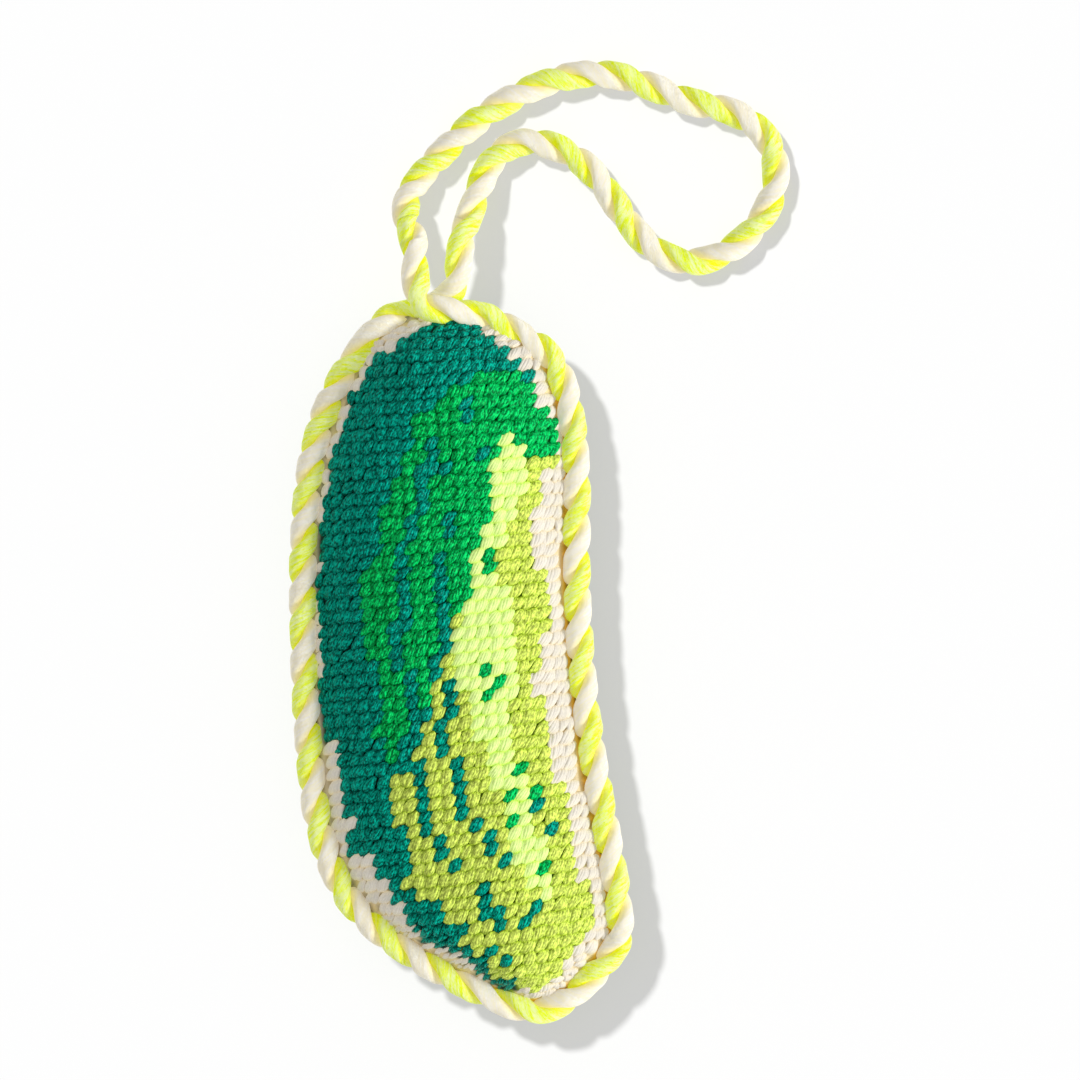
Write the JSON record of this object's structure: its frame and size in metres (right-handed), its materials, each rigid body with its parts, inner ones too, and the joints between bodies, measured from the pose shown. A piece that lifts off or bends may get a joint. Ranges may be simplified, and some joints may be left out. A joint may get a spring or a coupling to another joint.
{
  "type": "pickle ornament",
  "caption": "Stuffed needlepoint pickle ornament: tent-stitched face, cloth back, twisted cord trim round the seam and a fold-over hanging loop of the same cord.",
  "frame": {"origin": "on the flat part of the back that it rests on, under the middle of the stitched face", "axes": "+X to the right of the stitched face, +Y up the figure to the hanging loop, +Z out of the face"},
  "size_m": [0.0756, 0.1453, 0.0173],
  "materials": {
    "canvas": "open cotton weave",
    "teal_thread": "slightly shiny cotton thread",
    "green_thread": "slightly shiny cotton thread",
    "lime_thread": "slightly shiny cotton thread",
    "neon_thread": "slightly shiny cotton thread",
    "cream_thread": "slightly shiny cotton thread",
    "backing_cloth": "soft short pile",
    "fibre_fill": "loose fibre",
    "sewing_thread": "matt thread",
    "twisted_cord": "soft lustre, one neon yellow ply and one cream ply"
  },
  "bodies": {
    "cushion": {"canvas_ground": "canvas", "teal_stitches": "teal_thread", "green_stitches": "green_thread", "lime_stitches": "lime_thread", "neon_stitches": "neon_thread", "cream_stitches": "cream_thread", "backing_panel": "backing_cloth", "stuffing": "fibre_fill", "seam_stitches": "sewing_thread", "closing_stitches": "sewing_thread", "trim_cord": "twisted_cord", "trim_tacks": "sewing_thread"},
    "loop": {"hanging_loop": "twisted_cord"}
  },
  "joints": [
    {"name": "loop_fold", "type": "hinge", "parent": "cushion", "child": "loop", "pos_m": [-0.00345, 0.061, 0.008], "axis": [1, 0, 0], "range_deg": [0, 105]}
  ]
}
